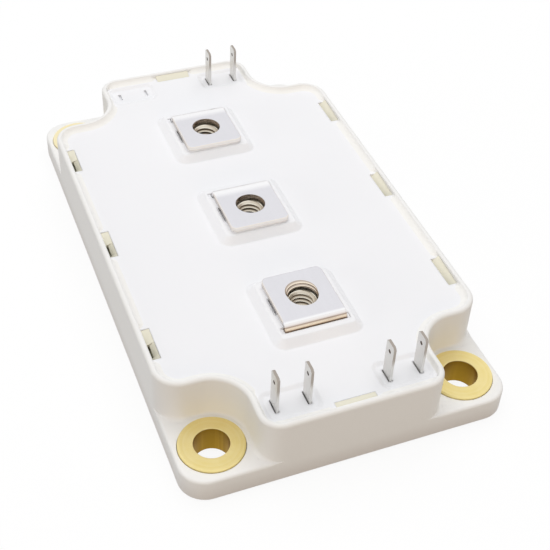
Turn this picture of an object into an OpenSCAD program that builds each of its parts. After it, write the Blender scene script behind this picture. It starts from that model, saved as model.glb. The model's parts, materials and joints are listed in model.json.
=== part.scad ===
// Low-profile power MOSFET module: a moulded frame with a snapped-in lid, brass mounting bushings,
// folded screw terminals over captive nuts, signal tabs, and a half bridge on a copper base plate.
// X runs across the width, Y along the length with the front end at -Y, and Z up from the mounting
// plane. The origin is under the middle of the footprint. All sizes are in millimetres.

/* [Package] */
// Width over the long sides
package_w = 62; // [61:0.5:66]
// Length over the two ends
package_l = 108; // [106:0.5:112]
// Height of the rim around the lid
rim_h = 14.3; // [13.8:0.1:15]
// Height of the corner ears
ear_h = 5; // [4.5:0.1:7]
// Corner radius of the ears
ear_r = 5; // [3:0.5:7]

/* [Housing frame] */
// Thickness of the rim beside the lid
rim_wall = 1.1; // [0.8:0.1:1.5]
// Thickness of the wall below the lid
body_wall = 3.2; // [2.8:0.1:3.4]
// Radius of the corner scoops that clear the mounting screws
scoop_r = 6.8; // [6.5:0.1:7.2]
// Radius of the shoulders beside the scoops
shoulder_r = 5; // [3.5:0.5:6]
// Radius of the corners at the two ends
end_r = 4; // [3.5:0.25:5]
// Gap under the plastic when the base plate sits on its heat sink
skirt_lift = 0.2; // [0.1:0.05:0.4]
// Height of the end shelves above the base plate
shelf_h = 2; // [1.5:0.1:2.2]
// Length of the end shelves from the inside of the end wall
shelf_l = 8.8; // [6:0.2:10]

/* [Mounting] */
// Distance from the sides of the package to the mounting holes
hole_side = 7; // [6.5:0.25:7.5]
// Distance from the ends of the package to the mounting holes
hole_end = 7.5; // [7:0.25:8]
// Clearance hole through each bushing
bush_bore_d = 6.4; // [5.5:0.1:6.8]
// Diameter of the bushing head that shows on the ear
bush_head_d = 11.9; // [11:0.1:13]
// Height of the bushing head
bush_head_h = 1.2; // [0.8:0.1:1.6]
// Height that the bushing head stands proud of the ear
bush_proud = 0.5; // [0.2:0.1:0.7]
// Bevel around the bushing head
bush_bevel = 0.2; // [0.1:0.05:0.4]
// Diameter of the bushing inside the ear
bush_body_d = 10; // [9:0.1:10.6]
// Diameter of the bushing spigot in the base plate
bush_spigot_d = 8.3; // [7.8:0.1:8.6]
// Clearance on each side of the bushing
bush_fit = 0.1; // [0.05:0.05:0.2]

/* [Base plate] */
// Thickness of the base plate
plate_h = 3; // [2.5:0.1:3.4]
// Thickness of the plastic skirt around the base plate
skirt_wall = 1.4; // [1:0.1:1.5]
// Clearance between the base plate and the skirt
plate_fit = 0.1; // [0.05:0.05:0.3]

/* [Lid] */
// Thickness of the lid
lid_h = 2; // [1.6:0.1:2.4]
// Depth of the lid below the rim
lid_recess = 1; // [0.8:0.1:1.5]
// Gap between the lid and the rim
lid_gap = 0.1; // [0.1:0.05:0.4]
// Distance from the ends of the package to the first and last snap windows
window_end = 26; // [25:0.25:27]
// Length of each snap window
window_l = 7.6; // [6:0.2:9]
// Width of each snap window, measured from the rim
window_w = 1.7; // [1.6:0.1:2.1]
// Thickness of the snap hooks
hook_t = 1; // [0.6:0.1:1.1]
// Reach of a snap hook into its groove in the lid
hook_nose = 0.4; // [0.3:0.1:0.8]
// Height of the groove in the lid that a hook catches in
groove_h = 0.6; // [0.5:0.05:0.7]
// Thickness of the lid over the groove
groove_cover = 1; // [0.6:0.05:1.1]
// Clearance around the snap hooks
hook_fit = 0.15; // [0.1:0.05:0.25]

/* [Terminals] */
// Distance from the ends of the package to the first and last screw holes
terminal_end = 26.4; // [25.5:0.1:27]
// Width of each terminal strip
terminal_w = 12; // [10:0.5:13]
// Thickness of each terminal strip
terminal_t = 1; // [0.8:0.1:1.2]
// Height of the terminal faces above the mounting plane
terminal_h = 16; // [15.9:0.1:17]
// Distance from the screw hole to the free edge
terminal_reach = 6.4; // [5.5:0.1:7]
// Distance from the screw hole to the outside of the fold
terminal_fold = 6.8; // [6.5:0.1:7]
// Diameter of the screw hole
terminal_hole_d = 5.8; // [5.3:0.1:6.2]
// Radius of the free corners
terminal_corner_r = 1.2; // [0.5:0.1:2]
// Outside radius of the folds
fold_r = 1.5; // [1.3:0.1:1.8]
// Length of the foot on the substrate
foot_l = 4.5; // [3.5:0.1:4.7]

/* [Terminal bosses] */
// Height of each boss above the lid
boss_rise = 1.3; // [1:0.1:1.5]
// Width across the flat top of a boss
boss_top_w = 14.4; // [13.8:0.1:16]
// Length of the flat top from the screw hole to the free side
boss_free_l = 6.8; // [6:0.1:8]
// Length of the flat top from the screw hole to the fold side
boss_fold_l = 8.3; // [8:0.1:9.5]
// Run of the sloped sides
boss_slope = 1.4; // [1:0.1:2.4]
// Corner radius at the top of a boss
boss_top_r = 0.8; // [0.4:0.1:1.5]
// Room in the lid slot outside the fold
slot_front = 0.2; // [0.1:0.05:0.5]
// Room in the lid slot behind the strip
slot_back = 0.2; // [0.1:0.05:0.25]
// Room in the lid slot at each side of the strip
slot_side = 0.2; // [0.1:0.05:0.3]
// Width of the shallow recess at each side of the strip
recess_side = 0.6; // [0.4:0.1:0.6]
// Depth of the shallow recess around the strip
recess_depth = 0.5; // [0.3:0.1:0.8]
// Width of the relief across a boss, below the terminal
relief_w = 4.4; // [3:0.1:5]
// Reach of the relief past each side of the terminal
relief_side = 0.3; // [0.2:0.1:0.5]
// Depth of the relief
relief_depth = 0.8; // [0.4:0.1:1]

/* [Captive nuts] */
// Width of a nut across its flats
nut_af = 8; // [7:0.1:8]
// Height of a nut
nut_h = 4; // [3.2:0.1:4.4]
// Diameter of the threaded hole inside the thread
nut_minor_d = 4.2; // [3.3:0.1:4.4]
// Depth of the nut below the top of its boss
nut_drop = 0.1; // [0.05:0.05:0.3]
// Clearance on each side of a nut in its pocket
nut_fit = 0.1; // [0.05:0.05:0.15]
// Diameter of the room for the screw end below a nut
screw_room_d = 5.6; // [5.2:0.1:6.4]
// Longest screw reach below the terminal face
screw_reach = 8.4; // [8:0.1:8.6]
// Wall around the nut pocket and the screw room
well_wall = 1; // [0.8:0.1:1.05]

/* [Signal tabs] */
// Width of a signal tab along the length of the module
tab_w = 2.8; // [2.4:0.1:3]
// Thickness of a signal tab
tab_t = 0.5; // [0.4:0.1:0.8]
// Height of the tab tips above the mounting plane
tab_h = 21; // [18.5:0.1:23]
// Distance between the two tabs of a pair
tab_pitch = 6; // [5.4:0.1:6.4]
// Gap between the outer tab and the inside of the wall
tab_side_gap = 0.25; // [0.2:0.05:0.4]
// Distance from the end of the module to the middle of the tabs
tab_end_l = 5.7; // [5.6:0.1:6.4]
// Diameter of the latch hole in a tab
tab_hole_d = 1; // [0.6:0.1:1.4]
// Distance of the latch hole below the tip
tab_hole_drop = 1.9; // [1.4:0.1:2.6]
// Bevel at the tip of a tab
tab_tip = 0.4; // [0.2:0.1:0.7]
// Length of the foot on the shelf
tab_foot_l = 2.2; // [1.6:0.1:2.4]
// Clearance around a tab in its lid slot
tab_fit = 0.15; // [0.1:0.05:0.3]
// Width of the blank slots at the corner without tabs
blank_w = 0.5; // [0.4:0.1:0.8]
// Length of the blank slots
blank_l = 2.2; // [1.6:0.1:2.8]
// Depth of the blank slots below the pad
blank_depth = 0.5; // [0.3:0.1:0.8]
// Depth of the sunken pads around the tab slots
pad_drop = 0.4; // [0.2:0.1:0.6]
// Run of the sloped sides of the sunken pads
pad_slope = 0.7; // [0.4:0.1:0.7]
// Distance from the tabs to the side edge of a pad floor
pad_side = 1.4; // [1.1:0.1:1.4]
// Distance from the tabs to the end edge of a pad floor
pad_end = 2.5; // [2:0.1:2.8]
// Corner radius at the floor of a pad
pad_floor_r = 0.8; // [0.3:0.1:1]

/* [Substrates] */
// Width of each ceramic substrate
sub_w = 48; // [47:0.5:52]
// Gap between a substrate and the inside of the wall
sub_gap = 0.6; // [0.4:0.1:0.8]
// Gap between the two substrates
sub_split = 1.5; // [1:0.1:2]
// Thickness of the ceramic
ceramic_t = 0.63; // [0.4:0.01:0.8]
// Thickness of the copper foils
foil_t = 0.3; // [0.2:0.05:0.4]
// Bare ceramic around the foils
foil_edge = 1; // [0.6:0.1:1.2]
// Gap between neighbouring foils
foil_gap = 0.6; // [0.4:0.1:0.8]
// Width of the gate and sense tracks
track_w = 1; // [0.8:0.1:1.2]
// Length of the source foil
source_foil_l = 12; // [11:0.2:13]
// Length of the foils under the temperature sensor
sense_foil_l = 2; // [1.8:0.1:2.4]

/* [Chips] */
// Number of chips on each substrate
chip_count = 4; // [2:1:4]
// Distance between chips
chip_pitch = 10.5; // [9:0.1:10.6]
// Width of a chip
chip_w = 6.5; // [5:0.1:6.6]
// Length of a chip
chip_l = 7; // [6:0.1:8]
// Thickness of a chip
chip_t = 0.2; // [0.1:0.01:0.25]
// Distance from a chip to the edge of its foil
chip_edge = 1.2; // [0.6:0.1:1.6]
// Width of the source ribbons
ribbon_w = 3; // [2:0.1:3.4]
// Thickness of the source ribbons
ribbon_t = 0.25; // [0.15:0.05:0.3]
// Rise of the source ribbons over the gate track
ribbon_rise = 1.4; // [1:0.1:1.5]
// Distance from the edge of the source foil to the landing of a ribbon
ribbon_in = 2.4; // [1.5:0.1:3]
// Width of the gate and tab ribbons
lead_w = 0.5; // [0.3:0.1:0.6]
// Thickness of the gate and tab ribbons
lead_t = 0.2; // [0.1:0.05:0.25]
// Rise of the gate ribbons
gate_rise = 0.7; // [0.5:0.1:1]
// Rise of the tab ribbons
lead_rise = 0.9; // [0.8:0.05:1]
// Width of the link straps between the substrates
link_w = 6; // [4:0.5:7]
// Thickness of the link straps
link_t = 0.5; // [0.3:0.1:0.6]
// Distance of the link straps from the middle
link_x = 14; // [12:0.5:16]
// Rise of the link straps
link_rise = 1; // [0.6:0.1:1.2]
// Width of the temperature sensor
sensor_w = 2; // [1.6:0.1:2.2]
// Length of the temperature sensor
sensor_l = 1.25; // [0.8:0.05:1.6]
// Height of the temperature sensor
sensor_h = 0.8; // [0.4:0.05:1]
// Depth of the silicone gel over the base plate
gel_h = 3.4; // [3.4:0.05:3.5]

/* [Hidden] */
$fn = 64;
cut = 1;
lap = 0.5;
arch_steps = 16;

white = "#F4F1EA";
lid_white = "#F1F1F2";
brass = "#D2B055";
nickel = "#C9C8D0";
steel = "#B9B4A6";
tin = "#B4B4B6";
copper = "#C98A5E";
ceramic_white = "#E9E7DF";
silicon = "#4A4E57";
aluminium = "#D4D6D9";
gel_clear = "#DDE3E8";

half_w = package_w / 2;
half_l = package_l / 2;
hole_x = half_w - hole_side;
hole_y = half_l - hole_end;
shoulder_y = hole_y - scoop_r;
end_x = hole_x - scoop_r;
least_r = 0.3;

plate_inset = skirt_wall + plate_fit;
lid_top = rim_h - lid_recess;
lid_z = lid_top - lid_h;
groove_z = lid_top - groove_cover - groove_h;
shelf_z = plate_h + shelf_h;
shelf_y = half_l - body_wall - shelf_l;
gel_top = plate_h + gel_h;
head_z = ear_h + bush_proud - bush_head_h;

terminal_pitch = half_l - terminal_end;
window_pitch = half_l - window_end;
boss_top = lid_top + boss_rise;
nut_top = boss_top - nut_drop;
nut_z = nut_top - nut_h;
screw_room_z = terminal_h - screw_reach;
well_z = screw_room_z - well_wall;
nut_corner_d = nut_af / cos(30);
pocket_af = nut_af + 2 * nut_fit;
pocket_corner_d = pocket_af / cos(30);
nut_bevel = (nut_corner_d - nut_af) / 2;
nut_bevel_h = nut_bevel * tan(30);

tab_y = half_l - tab_end_l;
tab_outer_x = end_x - body_wall - tab_side_gap - tab_t / 2;
tab_inner_x = tab_outer_x - tab_pitch;
lead_outer_x = tab_outer_x - (tab_t + tab_foot_l) / 2;
lead_inner_x = tab_inner_x + (tab_t + tab_foot_l) / 2;
lead_land = 0.8;
ribbon_land = 1.6;

sub_end = shoulder_y - body_wall - sub_gap;
sub_l = sub_end - sub_split / 2;
sub_y = sub_end - sub_l / 2;
foil_x = sub_w / 2 - foil_edge;
foil_y = sub_l / 2 - foil_edge;
ceramic_z = plate_h + foil_t;
foil_z = ceramic_z + ceramic_t;
foil_top = foil_z + foil_t;
chip_top = foil_top + chip_t;
source_y = -foil_y + source_foil_l;
gate_y = source_y + foil_gap + track_w / 2;
drain_y = gate_y + track_w / 2 + foil_gap;
chip_y = drain_y + chip_edge + chip_l / 2;
lead_clear = lead_land / 2 + foil_gap;

CORNERS = [["front_left", -1, -1], ["front_right", 1, -1], ["rear_left", -1, 1], ["rear_right", 1, 1]];
TAB_CORNERS = [CORNERS[0], CORNERS[1], CORNERS[3]];
BLANK_CORNERS = [CORNERS[2]];
TERMINALS = [["front", -1, -1], ["middle", 0, 1], ["rear", 1, 1]];
SUBS = [["front", -1], ["rear", 1]];
SIDES = ["outer", "inner"];
LAYERS = ["back_foil", "ceramic", "source_foil", "gate_foil", "drain_foil"];
CHIPS = [for (i = [1:chip_count]) i];

// Rectangle with round corners about the origin
module rounded_rect(w, l, r) {
  square([w - 2 * r, l], center = true);
  square([w, l - 2 * r], center = true);
  for (x = [-1, 1], y = [-1, 1])
    translate([x * (w / 2 - r), y * (l / 2 - r)]) circle(r);
}

// Plan of the raised body, moved inwards by inset: shoulders, scoops about the screws, and two ends
module body_plan(inset) {
  inner_x = end_x - inset;
  inner_y = shoulder_y - inset;
  rounded_rect(package_w - 2 * inset, 2 * inner_y, max(shoulder_r - inset, least_r));
  rounded_rect(2 * inner_x, package_l - 2 * inset, max(end_r - inset, least_r));
  for (x = [0, 1], y = [0, 1]) mirror([x, 0]) mirror([0, y]) difference() {
    translate([inner_x - lap, inner_y - lap]) square([hole_x - inner_x + lap, hole_y - inner_y + lap]);
    translate([hole_x, hole_y]) circle(scoop_r + inset);
  }
}

// Low mound with sloped sides and round corners, given by its flat top
module mound(w, l, h, slope, r) {
  foot_r = r + slope;
  for (x = [-1, 1], y = [-1, 1])
    translate([x * (w / 2 - r), y * (l / 2 - r), 0]) cylinder(h, r1 = foot_r, r2 = r);
  rotate([90, 0, 0]) linear_extrude(l - 2 * r, center = true) mound_side(w, h, slope);
  rotate([90, 0, 90]) linear_extrude(w - 2 * r, center = true) mound_side(l, h, slope);
}

module mound_side(w, h, slope) {
  polygon([[-w / 2 - slope, 0], [w / 2 + slope, 0], [w / 2, h], [-w / 2, h]]);
}

module up(z) {
  translate([0, 0, z]) children();
}

// Extrudes a plan between two heights
module slab(z0, z1) {
  up(z0) linear_extrude(z1 - z0) children();
}

// Extrudes a profile drawn in Y and Z across X
module across(w) {
  rotate([90, 0, 90]) linear_extrude(w, center = true) children();
}

module at_corners(corners = CORNERS) {
  for (c = corners) translate([c[1] * hole_x, c[2] * hole_y, 0]) children();
}

// Frame of one terminal: its screw hole at the origin and its fold towards +Y
module at_terminal(t) {
  translate([0, t[1] * terminal_pitch, 0]) scale_y(t[2]) children();
}

module scale_y(side) {
  mirror([0, side < 0 ? 1 : 0, 0]) children();
}

module scale_x(side) {
  mirror([side < 0 ? 1 : 0, 0, 0]) children();
}

// Frame of each snap window: origin on the inside of the rim, +X outwards
module at_windows() {
  for (s = [-1, 1], i = [-1:1])
    scale_x(s) translate([half_w - rim_wall, i * window_pitch, 0]) children();
  for (s = [-1, 1])
    rotate(90 * s) translate([half_l - rim_wall, 0, 0]) children();
}

// Strip that lies flat at both ends and rises in a smooth arch between two points given as [y, z]
module arch(from, to, rise, w, t, land) {
  way = sign(to[0] - from[0]);
  y0 = from[0] + way * land / 2;
  y1 = to[0] - way * land / 2;
  low = concat(
    [[from[0] - way * land / 2, from[1]]],
    [for (i = [0:arch_steps]) let (k = i / arch_steps)
      [y0 + (y1 - y0) * k, from[1] + (to[1] - from[1]) * k * k * (3 - 2 * k) + rise * pow(sin(180 * k), 2)]],
    [[to[0] + way * land / 2, to[1]]]
  );
  high = [for (i = [len(low) - 1:-1:0]) low[i] + [0, t]];
  across(w) polygon(concat(low, high));
}

module housing_frame() {
  color(white) {
    difference() {
      union() {
        slab(skirt_lift, ear_h) rounded_rect(package_w, package_l, ear_r);
        slab(ear_h - lap, rim_h) body_plan(0);
      }
      slab(skirt_lift - cut, plate_h)
        rounded_rect(package_w - 2 * skirt_wall, package_l - 2 * skirt_wall, ear_r - skirt_wall);
      slab(plate_h - lap, lid_z + lap) intersection() {
        body_plan(body_wall);
        square([package_w, 2 * shelf_y], center = true);
      }
      slab(shelf_z, lid_z + lap) body_plan(body_wall);
      slab(lid_z, rim_h + cut) body_plan(rim_wall);
      at_corners() {
        up(plate_h - lap) cylinder(ear_h, d = bush_body_d + 2 * bush_fit);
        up(head_z) cylinder(ear_h, d = bush_head_d + 2 * bush_fit);
      }
    }
    at_windows() snap_hook();
  }
}

// Upright arm on the ledge with a nose that catches in the groove of the lid
module snap_hook() {
  arm_x = -window_w + hook_fit;
  nose_x = -window_w - hook_nose;
  tip_z = groove_z + groove_h;
  rotate([90, 0, 0]) linear_extrude(window_l - 4 * hook_fit, center = true) polygon([
    [arm_x, lid_z - lap],
    [arm_x + hook_t, lid_z - lap],
    [arm_x + hook_t, tip_z],
    [arm_x, tip_z],
    [arm_x, groove_z + groove_h - hook_fit],
    [nose_x, groove_z + hook_fit],
    [arm_x, groove_z + hook_fit]
  ]);
}

module lid() {
  color(lid_white) difference() {
    union() {
      slab(lid_z, lid_top) body_plan(rim_wall + lid_gap);
      for (t = TERMINALS) at_terminal(t) {
        boss();
        nut_well();
      }
    }
    at_tab_pairs() tab_pad();
    for (t = TERMINALS) at_terminal(t) {
      terminal_slot();
      slab(boss_top - relief_depth, boss_top + cut)
        square([terminal_w + 2 * relief_side, relief_w], center = true);
      up(nut_z) cylinder(nut_h + cut, d = pocket_corner_d, $fn = 6);
      up(screw_room_z) cylinder(nut_z - screw_room_z + lap, d = screw_room_d);
    }
    at_tab_pairs(TAB_CORNERS) tab_slots(lid_z - cut, tab_t + 2 * tab_fit, tab_w + 2 * tab_fit);
    at_tab_pairs(BLANK_CORNERS) tab_slots(lid_top - pad_drop - blank_depth, blank_w, blank_l);
    at_windows() {
      translate([-window_w, -window_l / 2, lid_z - cut]) cube([window_w + cut, window_l, lid_h + 2 * cut]);
      translate([-window_w - hook_nose - hook_fit, -window_l / 2, groove_z])
        cube([hook_nose + hook_fit + lap, window_l, groove_h]);
    }
  }
}

module boss() {
  top_l = boss_free_l + boss_fold_l;
  translate([0, (boss_fold_l - boss_free_l) / 2, lid_top])
    mound(boss_top_w, top_l, boss_rise, boss_slope, boss_top_r);
}

// Slot that the strip passes through, with a wider recess at the top
module terminal_slot() {
  slot_l = slot_front + terminal_t + slot_back;
  translate([0, terminal_fold + slot_front - slot_l / 2]) {
    slab(lid_z - cut, boss_top + cut) square([terminal_w + 2 * slot_side, slot_l], center = true);
    slab(boss_top - recess_depth, boss_top + cut)
      square([terminal_w + 2 * recess_side, slot_l], center = true);
  }
}

// Block below the lid that holds the nut pocket and the room for the screw
module nut_well() {
  well_w = pocket_corner_d + 2 * well_wall;
  well_l = pocket_af + 2 * well_wall;
  slab(well_z, lid_z + lap) square([well_w, well_l], center = true);
}

module at_tab_pairs(corners = CORNERS) {
  for (c = corners) scale_x(c[1]) scale_y(c[2]) children();
}

// Slots of a pair of tabs, from a floor up through the lid
module tab_slots(floor_z, w, l) {
  for (x = [tab_inner_x, tab_outer_x])
    translate([x, tab_y]) slab(floor_z, lid_top + cut) square([w, l], center = true);
}

// Sunken pad that two tabs stand in, cut from above the lid with the slope carried on
module tab_pad() {
  depth = pad_drop + lap;
  translate([(tab_inner_x + tab_outer_x) / 2, tab_y, lid_top + lap]) mirror([0, 0, 1])
    mound(tab_pitch + 2 * pad_side, 2 * pad_end, depth, pad_slope * depth / pad_drop, pad_floor_r);
}

module base_plate() {
  color(nickel) difference() {
    slab(0, plate_h)
      rounded_rect(package_w - 2 * plate_inset, package_l - 2 * plate_inset, ear_r - plate_inset);
    at_corners() up(-cut) cylinder(plate_h + 2 * cut, d = bush_spigot_d + 2 * bush_fit);
  }
}

// Turned bushing: head on the ear, shoulder on the base plate, spigot through it
module bushing() {
  head_r = bush_head_d / 2;
  color(brass) rotate_extrude() polygon([
    [bush_bore_d / 2, 0],
    [bush_spigot_d / 2, 0],
    [bush_spigot_d / 2, plate_h],
    [bush_body_d / 2, plate_h],
    [bush_body_d / 2, head_z],
    [head_r, head_z],
    [head_r, ear_h + bush_proud - bush_bevel],
    [head_r - bush_bevel, ear_h + bush_proud],
    [bush_bore_d / 2, ear_h + bush_proud]
  ]);
}

// Strip folded over the nut at the top and along the substrate at the bottom
module terminal() {
  color(nickel) difference() {
    union() {
      across(terminal_w) strip_profile();
      slab(terminal_h - terminal_t, terminal_h) terminal_face();
    }
    up(terminal_h - terminal_t - cut) cylinder(terminal_t + 2 * cut, d = terminal_hole_d);
  }
}

// Plan of the screw face, with its two free corners rounded
module terminal_face() {
  bend_y = terminal_fold - fold_r;
  side_x = terminal_w / 2 - terminal_corner_r;
  translate([-terminal_w / 2, terminal_corner_r - terminal_reach])
    square([terminal_w, terminal_reach + bend_y - terminal_corner_r]);
  translate([-side_x, -terminal_reach]) square([2 * side_x, terminal_corner_r]);
  for (s = [-1, 1])
    translate([s * side_x, terminal_corner_r - terminal_reach]) circle(terminal_corner_r);
}

// Upright leg with a bend at each end and the foot, drawn in Y and Z
module strip_profile() {
  bend_y = terminal_fold - fold_r;
  inner_r = fold_r - terminal_t;
  for (z = [foil_top + fold_r, terminal_h - fold_r]) intersection() {
    translate([bend_y, z]) difference() {
      circle(fold_r);
      circle(inner_r);
    }
    translate([bend_y, z > foil_top + fold_r ? z : z - fold_r]) square(fold_r);
  }
  translate([terminal_fold - terminal_t, foil_top + fold_r])
    square([terminal_t, terminal_h - foil_top - 2 * fold_r]);
  translate([terminal_fold - foot_l, foil_top]) square([foot_l - fold_r, terminal_t]);
}

// Hex nut with bevelled corners
module nut() {
  color(steel) difference() {
    intersection() {
      up(nut_z) cylinder(nut_h, d = nut_corner_d, $fn = 6);
      rotate_extrude() polygon([
        [0, nut_z],
        [nut_af / 2, nut_z],
        [nut_af / 2 + nut_bevel, nut_z + nut_bevel_h],
        [nut_af / 2 + nut_bevel, nut_top - nut_bevel_h],
        [nut_af / 2, nut_top],
        [0, nut_top]
      ]);
    }
    up(nut_z - cut) cylinder(nut_h + 2 * cut, d = nut_minor_d);
  }
}

// Blade of a signal tab with its foot on the shelf; side is the way the foot points
module tab(x, side) {
  half = tab_w / 2;
  color(tin) translate([x, tab_y, 0]) {
    difference() {
      across(tab_t) polygon([
        [-half, shelf_z],
        [half, shelf_z],
        [half, tab_h - tab_tip],
        [half - tab_tip, tab_h],
        [tab_tip - half, tab_h],
        [-half, tab_h - tab_tip]
      ]);
      up(tab_h - tab_hole_drop) rotate([0, 90, 0]) cylinder(tab_t + 2 * cut, d = tab_hole_d, center = true);
    }
    foot_x = side > 0 ? 0 : -tab_t / 2 - tab_foot_l;
    translate([foot_x, -half, shelf_z]) cube([tab_t / 2 + tab_foot_l, tab_w, tab_t]);
  }
}

module signal_tab(c, s) {
  at_tab_pairs([c]) if (s == "outer") tab(tab_outer_x, -1); else tab(tab_inner_x, 1);
}

// Ribbon from the foot of a tab to its landing on the substrate
module tab_ribbon(c, s) {
  x = s == "outer" ? lead_outer_x : lead_inner_x;
  inboard = c[0] == "rear_right" && s == "outer" ? track_w + foil_gap : 0;
  land_y = sub_y + foil_y - track_w / 2 - inboard;
  color(aluminium) at_tab_pairs([c]) translate([x, 0, 0])
    arch([tab_y, shelf_z + tab_t], [land_y, foil_top], lead_rise, lead_w, lead_t, lead_land);
}

module at_sub(b) {
  translate([0, b[1] * sub_y, 0]) children();
}

module back_foil(b) {
  color(copper) at_sub(b) slab(plate_h, ceramic_z) square([2 * foil_x, 2 * foil_y], center = true);
}

module ceramic(b) {
  color(ceramic_white) at_sub(b) slab(ceramic_z, foil_z) square([sub_w, sub_l], center = true);
}

module span(x0, x1, y0, y1) {
  translate([x0, y0]) square([x1 - x0, y1 - y0]);
}

// Gate track of the front substrate: across the chips, down the left edge and to its tab ribbon
module front_gate_plan(grow = 0) {
  far = -foil_y - grow;
  span(-foil_x - grow, foil_x + grow, gate_y - track_w / 2 - grow, gate_y + track_w / 2 + grow);
  span(-foil_x - grow, -foil_x + track_w + grow, far, gate_y);
  span(-foil_x - grow, lead_clear - lead_outer_x - foil_gap + grow, far, track_w - foil_y + grow);
}

// Two foils that the temperature sensor bridges
module sense_plan(grow = 0) {
  half = (lead_outer_x - lead_inner_x - sensor_w) / 2 + foil_gap / 2;
  for (x = [lead_inner_x, lead_outer_x])
    span(x - half - grow, x + half + grow, -foil_y - grow, sense_foil_l - foil_y + grow);
}

// Sense track of the rear substrate, part of its source foil: up the right edge to its tab ribbon
module rear_sense_plan(grow = 0) {
  span(foil_x - track_w - grow, foil_x + grow, source_y - lap, foil_y + grow);
  span(lead_inner_x - lead_clear - grow, foil_x + grow, foil_y - track_w - grow, foil_y + grow);
}

// Gate track of the rear substrate, inside the sense track
module rear_gate_plan(grow = 0) {
  side = foil_x - track_w - foil_gap;
  far = foil_y - track_w - foil_gap;
  span(-foil_x - grow, side + grow, gate_y - track_w / 2 - grow, gate_y + track_w / 2 + grow);
  span(side - track_w - grow, side + grow, gate_y, far + grow);
  span(lead_outer_x - lead_clear - grow, side + grow, far - track_w - grow, far + grow);
}

module gate_foil(b) {
  color(copper) at_sub(b) slab(foil_z, foil_top) if (b[1] < 0) front_gate_plan(); else rear_gate_plan();
}

module source_foil(b) {
  color(copper) at_sub(b) slab(foil_z, foil_top) if (b[1] < 0) difference() {
    span(-foil_x, foil_x, -foil_y, source_y);
    front_gate_plan(foil_gap);
    sense_plan(foil_gap);
  } else union() {
    span(-foil_x, foil_x, -foil_y, source_y);
    rear_sense_plan();
  }
}

module drain_foil(b) {
  color(copper) at_sub(b) slab(foil_z, foil_top) difference() {
    span(-foil_x, foil_x, drain_y, foil_y);
    if (b[1] > 0) {
      rear_sense_plan(foil_gap);
      rear_gate_plan(foil_gap);
    }
  }
}

module sense_foils() {
  color(copper) at_sub(SUBS[0]) slab(foil_z, foil_top) sense_plan();
}

module temperature_sensor() {
  x = (lead_inner_x + lead_outer_x) / 2;
  color(silicon) at_sub(SUBS[0])
    translate([x - sensor_w / 2, sense_foil_l - foil_y - sensor_l, foil_top])
      cube([sensor_w, sensor_l, sensor_h]);
}

function chip_x(i) = (i - (chip_count + 1) / 2) * chip_pitch;

module chip(b, i) {
  color(silicon) at_sub(b) translate([chip_x(i), chip_y, 0])
    slab(foil_top, chip_top) square([chip_w, chip_l], center = true);
}

module source_ribbon(b, i) {
  from = [chip_y, chip_top];
  to = [source_y - ribbon_in, foil_top];
  color(aluminium) at_sub(b) translate([chip_x(i) + (chip_w - ribbon_w) / 4, 0, 0])
    arch(from, to, ribbon_rise, ribbon_w, ribbon_t, ribbon_land);
}

// Short ribbons from the corner of each chip to the gate track
module gate_ribbons(b) {
  from = [chip_y - chip_l / 2 + lead_land, chip_top];
  color(aluminium) at_sub(b) for (i = CHIPS) translate([chip_x(i) - chip_w / 2 + lead_w, 0, 0])
    arch(from, [gate_y, foil_top], gate_rise, lead_w, lead_t, lead_land);
}

// Strap from the drain foil of the front substrate to the source foil of the rear one
module link(side) {
  reach = sub_split / 2 + foil_edge + ribbon_land / 2;
  color(copper) translate([side * link_x, 0, 0])
    arch([-reach, foil_top], [reach, foil_top], link_rise, link_w, link_t, ribbon_land);
}

// Gel that fills the bottom of the housing around everything in it
module silicone_gel() {
  color(gel_clear) difference() {
    union() {
      slab(plate_h, gel_top) intersection() {
        body_plan(body_wall);
        square([package_w, 2 * shelf_y], center = true);
      }
      slab(shelf_z, gel_top) body_plan(body_wall);
    }
    for (b = SUBS) {
      back_foil(b);
      ceramic(b);
      source_foil(b);
      gate_foil(b);
      drain_foil(b);
      gate_ribbons(b);
      for (i = CHIPS) {
        chip(b, i);
        source_ribbon(b, i);
      }
    }
    sense_foils();
    temperature_sensor();
    for (s = [-1, 1]) link(s);
    for (t = TERMINALS) at_terminal(t) terminal();
    for (c = TAB_CORNERS, s = SIDES) {
      signal_tab(c, s);
      tab_ribbon(c, s);
    }
  }
}

housing_frame();
lid();
base_plate();
for (c = CORNERS)
  at_corners([c]) bushing();
for (t = TERMINALS)
  at_terminal(t) terminal();
for (t = TERMINALS)
  at_terminal(t) nut();
for (c = TAB_CORNERS, s = SIDES)
  signal_tab(c, s);
for (c = TAB_CORNERS, s = SIDES)
  tab_ribbon(c, s);
for (b = SUBS) {
  back_foil(b);
  ceramic(b);
  source_foil(b);
  gate_foil(b);
  drain_foil(b);
  gate_ribbons(b);
}
for (b = SUBS, i = CHIPS)
  chip(b, i);
for (b = SUBS, i = CHIPS)
  source_ribbon(b, i);
sense_foils();  // front_sense_foils
temperature_sensor();
link(-1);  // link_left
link(1);  // link_right
silicone_gel();
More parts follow.
